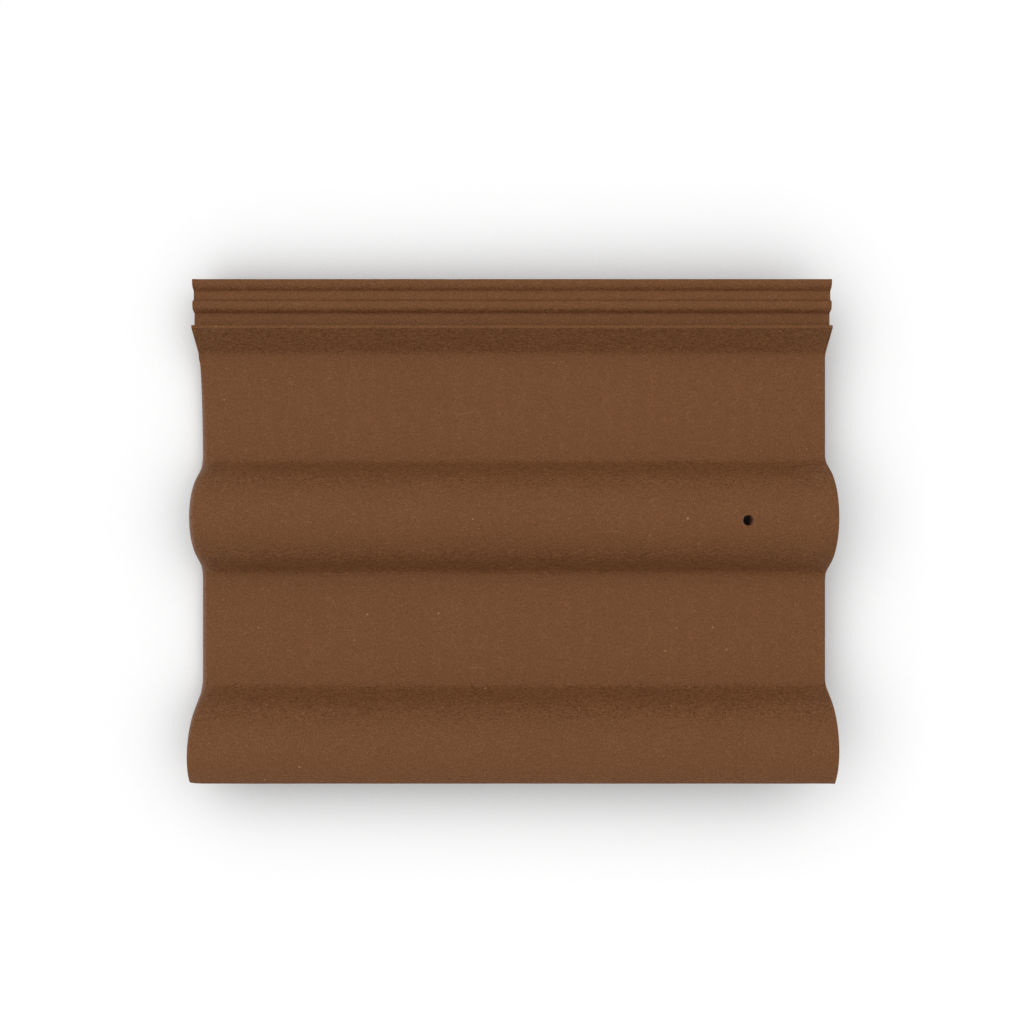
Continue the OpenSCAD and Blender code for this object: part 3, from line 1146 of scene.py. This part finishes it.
class MaterialTree(Tree):
    """A material's node tree, with patterns whose sizes are given in millimetres on the object."""

    def __init__(self, name: str) -> None:
        """Makes the material with an empty tree.

        Args:
            name: The material's name.
        """
        self.material = bpy.data.materials.new(name)
        self.material.use_nodes = True
        super().__init__(self.material.node_tree)
        self.place = self.add("ShaderNodeTexCoord").outputs["Object"]

    def noise(self, pattern: Pattern) -> NodeSocket:
        """Adds a soft random pattern, and returns its value around a half."""
        place = self.vector("MULTIPLY", self.place, (1 / pattern.stretch, 1.0, 1.0))
        return self.add("ShaderNodeTexNoise", {"noise_dimensions": "4D"}, Vector=place, W=pattern.seed,
                        Scale=1 / (pattern.size * MM), Detail=pattern.detail, Roughness=pattern.roughness,
                        Distortion=pattern.warp).outputs[0]

    def cells(self, size: float, dimensions: str = "3D") -> Any:
        """Adds random cells, and returns their outputs; cells of 2D go straight down through the tile."""
        return self.add("ShaderNodeTexVoronoi", {"voronoi_dimensions": dimensions},
                        Vector=self.place, Scale=1 / (size * MM)).outputs

    def chances(self, cells: Any) -> Any:
        """Three random values from 0 to 1 for each cell."""
        return self.add("ShaderNodeSeparateColor", Color=cells["Color"]).outputs

    def facing(self, axis: str, from_level: float, to_level: float) -> NodeSocket:
        """Share by which the surface faces along an axis.

        Args:
            axis: X, Y or Z.
            from_level: That part of the normal at which the share is 0.
            to_level: That part of the normal at which it is 1.

        Returns:
            The share.
        """
        normal = self.add("ShaderNodeNewGeometry").outputs["Normal"]
        part = self.add("ShaderNodeSeparateXYZ", Vector=normal).outputs[axis]
        return self.between(part, from_level, to_level)

    def swing(self, value: NodeSocket, reach: Any) -> NodeSocket:
        """A value around zero: the difference of a value from a half, times how far it may reach."""
        return self.math("MULTIPLY", self.math("SUBTRACT", value, 0.5), reach)

    def about_one(self, pattern: Pattern) -> NodeSocket:
        """A factor around one, which swings by the pattern's strength."""
        level = self.math("SUBTRACT", self.noise(pattern), 0.5)
        return self.math("MULTIPLY_ADD", level, pattern.strength, 1.0)

    def mix(self, share: Any, first: Any, second: Any) -> NodeSocket:
        """A mix of two colours, with the second's share."""
        return self.add("ShaderNodeMix", {"data_type": "RGBA"}, i0=share, i6=first, i7=second).outputs[2]

    def close(self, surface: NodeSocket) -> Material:
        """Ends the tree with the finished shader, and returns the material."""
        self.add("ShaderNodeOutputMaterial", Surface=surface)
        return self.material


Colour = tuple[float, float, float, float]


@dataclass(frozen=True)
class FiredClay:
    """Fired clay, coloured right through, with a fine wrinkled skin, light flecks and short scratches.

    Its colour also has painted light and shade that follow the wrinkles, strongest on steep faces, and a
    painted sheen where it faces the tail. The colours of grain and of the painted wrinkle shade say how far
    they move the clay's red, green and blue. Each range gives the levels at which a share is 0 and 1.
    """

    red: Colour = (0.1590, 0.0616, 0.0209, 1.0)
    olive: Colour = (0.1562, 0.0633, 0.0217, 1.0)
    # Painted sheen: the paler, greyer colour given to faces turned towards the tail.
    nose: Colour = (0.228, 0.118, 0.070, 1.0)
    fleck: Colour = (0.31, 0.18, 0.08, 1.0)
    scratch: Colour = (0.23, 0.122, 0.062, 1.0)
    grain: Colour = (1.24, 1.56, 2.70, 1.0)
    # Painted light and shade: how far the wrinkle heights move each channel of the colour.
    painted_wrinkle_shade: Colour = (1.0, 1.3, 1.8, 1.0)
    roughness: float = 0.6
    gloss: float = 0.16
    tints: Pattern = Pattern(3.0, 11.0)
    specks: Pattern = Pattern(2.0, 2.0, strength=0.03)
    clouds: Pattern = Pattern(34.0, 3.0, strength=0.10)
    wrinkles: Pattern = Pattern(0.65, 31.0, warp=0.8, stretch=2.8)
    pores: Pattern = Pattern(0.5, 32.0, detail=1.0)
    dull_spots: Pattern = Pattern(2.0, 41.0, strength=0.3)
    bends: Pattern = Pattern(6.0, 21.0)
    tint_range: tuple[float, float] = (0.30, 0.70)
    # Painted light and shade on the wrinkles goes from its level to its steep strength across this range of
    # the normal's height.
    painted_shade_steep_range: tuple[float, float] = (0.98, 0.72)
    # Painted sheen: the range of the normal's part along X over which faces towards the tail take the sheen
    # colour.
    painted_sheen_range: tuple[float, float] = (-0.5, -0.93)
    level_painted_shade: float = 0.15
    steep_painted_shade: float = 1.9
    wrinkle_depth: float = 0.40
    pore_depth: float = 0.16
    grain_size: float = 0.45
    fleck_cell: float = 8.0
    fleck_radius: float = 0.75
    fleck_range: tuple[float, float] = (0.35, 0.95)
    scratch_cell: float = 42.0
    scratch_length: float = 7.0
    scratch_width: float = 0.32
    scratch_turn: float = math.radians(70)
    scratch_bend: float = 2.5
    scratch_end: float = 0.5
    scratch_range: tuple[float, float] = (0.45, 1.0)

    def colour(self, tree: MaterialTree) -> NodeSocket:
        """The clay's colour: two tints that run into each other, a painted sheen where it faces the tail,
        grain, and painted light and shade that follow the wrinkles.

        Args:
            tree: The material's tree.

        Returns:
            The colour.
        """
        tint = tree.between(tree.noise(self.tints), *self.tint_range)
        # Painted sheen: faces turned towards the tail are mixed towards the paler, greyer nose colour.
        nose = tree.facing("X", *self.painted_sheen_range)
        body = tree.mix(nose, tree.mix(tint, self.red, self.olive), self.nose)
        # Painted light and shade: the colour swings lighter and darker with the wrinkle heights, much more on
        # steep faces.
        steep = tree.facing("Z", *self.painted_shade_steep_range)
        more = self.steep_painted_shade - self.level_painted_shade
        depth = tree.math("MULTIPLY_ADD", steep, more, self.level_painted_shade)
        grain = tree.math("SUBTRACT", tree.cells(self.grain_size)["Distance"], 0.5)
        painted_wrinkle_shade = tree.swing(tree.noise(self.wrinkles), depth)
        shade = (1.0, 1.0, 1.0)
        for colour, height in ((self.grain, grain), (self.painted_wrinkle_shade, painted_wrinkle_shade)):
            shade = tree.vector("ADD", shade, tree.vector("SCALE", colour[:3], Scale=height))
        mixed = tree.vector("MULTIPLY", body, shade)
        for pattern in (self.specks, self.clouds):
            mixed = tree.vector("SCALE", mixed, Scale=tree.about_one(pattern))
        return mixed

    def flecks(self, tree: MaterialTree) -> NodeSocket:
        """Small light grains, one in every few cells.

        Args:
            tree: The material's tree.

        Returns:
            The share of the fleck's colour.
        """
        cells = tree.cells(self.fleck_cell)
        chance = tree.chances(cells)
        reach = tree.math("MULTIPLY", chance[0], self.fleck_radius / self.fleck_cell)
        inside = tree.math("LESS_THAN", cells["Distance"], reach)
        return tree.math("MULTIPLY", inside, tree.between(chance[1], *self.fleck_range))

    def scratches(self, tree: MaterialTree) -> NodeSocket:
        """Short fine scratches, one in a cell, each turned its own way and bent a little.

        Args:
            tree: The material's tree.

        Returns:
            The share of the scratch's colour.
        """
        cells = tree.cells(self.scratch_cell, "2D")
        chance = tree.chances(cells)
        away = tree.vector("SUBTRACT", tree.place, cells["Position"])
        turned = tree.add("ShaderNodeVectorRotate", {"rotation_type": "Z_AXIS"}, Vector=away,
                          Angle=tree.swing(chance[0], self.scratch_turn))
        along, across, _ = tree.add("ShaderNodeSeparateXYZ", Vector=turned.outputs[0]).outputs
        bend = tree.swing(tree.noise(self.bends), self.scratch_bend * MM)
        side = tree.math("ABSOLUTE", tree.math("ADD", across, bend))
        length = tree.math("MULTIPLY", chance[1], self.scratch_length * MM)
        near = tree.math("SUBTRACT", 1.0, tree.math("DIVIDE", side, self.scratch_width * MM))
        within = tree.math("SUBTRACT", 1.0, tree.math("DIVIDE", tree.math("ABSOLUTE", along), length))
        ends = tree.between(within, 0.0, self.scratch_end)
        both = tree.math("MULTIPLY", tree.between(near, 0.0, 1.0), ends)
        return tree.math("MULTIPLY", both, tree.between(chance[2], *self.scratch_range))

    def skin(self, tree: MaterialTree) -> NodeSocket:
        """Bends the normal for the fine wrinkles that the die leaves, and for the pores.

        Args:
            tree: The material's tree.

        Returns:
            The bent normal.
        """
        first = tree.add("ShaderNodeBump", Height=tree.noise(self.wrinkles), Distance=self.wrinkle_depth * MM)
        return tree.add("ShaderNodeBump", Height=tree.noise(self.pores), Distance=self.pore_depth * MM,
                        Normal=first.outputs[0]).outputs[0]

    def material(self) -> Material:
        """Makes the finish.

        Returns:
            The material.
        """
        tree = MaterialTree("fired_clay")
        clay = tree.mix(self.flecks(tree), self.colour(tree), self.fleck)
        worn = tree.mix(self.scratches(tree), clay, self.scratch)
        rough = tree.math("MULTIPLY", tree.about_one(self.dull_spots), self.roughness)
        shader = tree.add("ShaderNodeBsdfPrincipled", Base_Color=worn, Roughness=rough,
                          Specular_IOR_Level=self.gloss, Normal=self.skin(tree))
        return tree.close(shader.outputs[0])


@dataclass(frozen=True)
class PaleFloor:
    """A matt white floor, which shows white to the camera and in reflections and keeps the tile's shadow."""

    bounce: Colour = (0.6, 0.6, 0.6, 1.0)
    shown: Colour = (1.0, 1.0, 1.0, 1.0)
    # Painted shadow: how far it reaches, where it is darkest, how steeply it falls off, and how many rays it
    # takes.
    painted_shadow_reach: float = 90.0
    painted_shadow_dark: float = 0.16
    painted_shadow_depth: float = 0.42
    painted_shadow_samples: int = 6

    def material(self) -> Material:
        """Makes the finish, with a painted shadow that darkens it a little where the tile is close.

        Returns:
            The material.
        """
        tree = MaterialTree("pale_floor")
        # Painted shadow: the colour shown to the camera and in reflections is darkened by ambient occlusion
        # where the tile is near.
        near = tree.add("ShaderNodeAmbientOcclusion", {"samples": self.painted_shadow_samples},
                        Distance=self.painted_shadow_reach * MM).outputs["AO"]
        open_share = tree.add("ShaderNodeMapRange", Value=near, From_Min=self.painted_shadow_dark).outputs[0]
        painted_shadow = tree.math("POWER", open_share, self.painted_shadow_depth)
        shown = tree.vector("SCALE", self.shown[:3], Scale=painted_shadow)
        shade = tree.add("ShaderNodeBsdfDiffuse", Color=tree.mix(tree.showing(), self.bounce, shown))
        return tree.close(shade.outputs[0])


@dataclass(frozen=True)
class SoftSky:
    """A wide soft light from above, all round and a little from one side, with nothing low down.

    Its strength is such that a level surface shows about its own colour.
    """

    strength: float = 1.43
    dip: float = 0.5
    dip_start: float = math.radians(36)
    full: float = math.radians(50)
    dark: float = math.radians(76)
    lean: tuple[float, float, float] = (-0.36, 0.25, 0.0)

    def build(self) -> World:
        """Makes the sky, which shows plain white to the camera and in reflections.

        Returns:
            The world.
        """
        world = bpy.data.worlds.new("soft_sky")
        world.use_nodes = True
        tree = Tree(world.node_tree)
        way = tree.add("ShaderNodeTexCoord").outputs["Object"]
        up = tree.add("ShaderNodeSeparateXYZ", Vector=way).outputs["Z"]
        high = tree.between(up, math.cos(self.dark), math.cos(self.full))
        crown = tree.between(up, math.cos(self.dip_start), 1.0)
        ring = tree.math("MULTIPLY", high, tree.math("MULTIPLY_ADD", crown, -self.dip, 1.0))
        product = tree.add("ShaderNodeVectorMath", {"operation": "DOT_PRODUCT"}, i0=way, i1=self.lean)
        leaning = tree.math("MULTIPLY", ring, tree.math("ADD", product.outputs["Value"], 1.0))
        light = tree.math("MULTIPLY", leaning, self.strength)
        shown = tree.math("MAXIMUM", tree.showing(), light)
        shader = tree.add("ShaderNodeBackground", Color=(1.0, 1.0, 1.0, 1.0), Strength=shown)
        tree.add("ShaderNodeOutputWorld", Surface=shader.outputs[0])
        return world


@dataclass
class Studio:
    """A pale floor, a soft sky and the camera over the tile."""

    tile: RoofTile
    floor_size: float = 8.0
    lens: float = 35.0
    camera_height: float = 667.4
    camera_y: float = 3.3

    def floor(self) -> None:
        """Lays the floor that the tile lies on."""
        mesh = bpy.data.meshes.new("floor")
        half = self.floor_size / 2
        mesh.from_pydata([(-half, -half, 0), (half, -half, 0), (half, half, 0), (-half, half, 0)], [],
                         [(0, 1, 2, 3)])
        mesh.materials.append(PaleFloor().material())
        linked("floor", mesh)

    def camera(self) -> None:
        """Sets up the camera, which looks straight down on the tile's own plane."""
        data = bpy.data.cameras.new("camera")
        data.lens = self.lens
        made = bpy.data.objects.new("camera", data)
        laid = self.tile.laid()
        made.location = laid @ Vector((0, self.camera_y, self.camera_height))
        made.rotation_mode = "QUATERNION"
        made.rotation_quaternion = laid.to_quaternion()
        bpy.context.scene.collection.objects.link(made)
        bpy.context.scene.camera = made


def main() -> None:
    """Builds the tile and the studio in order."""
    logging.basicConfig(level=logging.INFO, format="%(name)s: %(message)s")
    view = bpy.context.scene.view_settings
    view.view_transform = "Standard"
    tile = RoofTile()
    clay = FiredClay().material()
    piece = tile.build(clay)
    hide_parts("roof_tile")
    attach(piece, "root")
    LOG.info("%s: %d triangles", piece.name, sum(len(p.vertices) - 2 for p in piece.data.polygons))
    studio = Studio(tile)
    studio.floor()
    bpy.context.scene.world = SoftSky().build()
    studio.camera()


if __name__ == "__main__":
    main()
